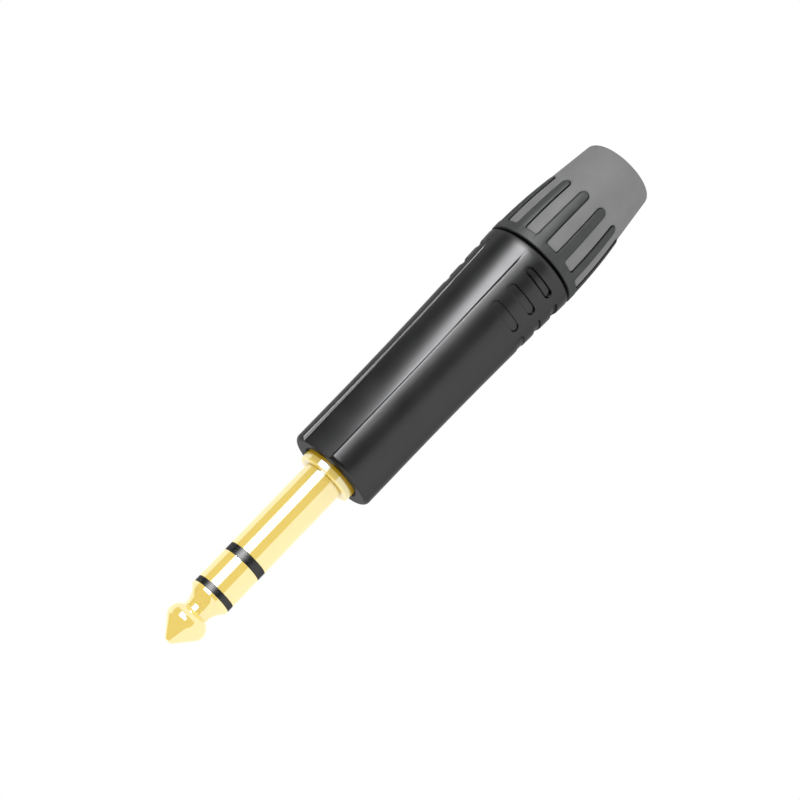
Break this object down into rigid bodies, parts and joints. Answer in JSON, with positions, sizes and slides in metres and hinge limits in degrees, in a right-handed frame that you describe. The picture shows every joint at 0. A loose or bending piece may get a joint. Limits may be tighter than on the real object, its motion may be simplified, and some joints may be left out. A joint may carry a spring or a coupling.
{
  "type": "stereo jack plug",
  "caption": "Straight three-contact jack plug with gilded contacts, a black metal shell with a long recessed panel, and a screwed rear collar whose fingers lie in a grey rubber cable boot.",
  "frame": {"origin": "on the plug's axis, at the rear face of the rubber boot that the plug stands on", "axes": "+Z along the axis from the boot to the tip, -Y out of the shell's long panel, +X to the right of the panel seen from outside"},
  "size_m": [0.0152, 0.0152, 0.0955],
  "materials": {
    "gilded_brass": "polished gold plate",
    "band_plastic": "smooth black moulding",
    "tag_metal": "tinned brass",
    "inner_plastic": "matt black moulding",
    "shell_metal": "glossy black coat on die-cast metal",
    "chuck_plastic": "pale natural moulding",
    "collar_plastic": "dark satin moulding",
    "boot_rubber": "light grey soft rubber"
  },
  "bodies": {
    "housing_body": {"housing": "shell_metal", "tip_contact": "gilded_brass", "tip_insulator": "band_plastic", "ring_contact": "gilded_brass", "ring_insulator": "band_plastic", "sleeve_contact": "gilded_brass", "ground_terminal": "tag_metal", "ground_spacer": "inner_plastic", "ring_terminal": "tag_metal", "ring_spacer": "inner_plastic", "tip_terminal": "tag_metal", "contact_carrier": "inner_plastic", "insulating_sleeve": "inner_plastic"},
    "chuck_body": {"chuck": "chuck_plastic"},
    "rear_collar": {"clamp_nut": "collar_plastic", "boot": "boot_rubber"}
  },
  "joints": [
    {"name": "chuck_follow", "type": "slide", "parent": "housing_body", "child": "chuck_body", "axis": [0, 0, -1], "range_m": [0, 0.00601]},
    {"name": "collar_turn", "type": "hinge", "parent": "chuck_body", "child": "rear_collar", "pos_m": [0, 0, 0.02], "axis": [0, 0, -1], "range_deg": [0, 2160]}
  ],
  "couplings": [
    {"joint": "chuck_follow", "follows": "collar_turn", "m_per_rad": 0.00015915}
  ]
}
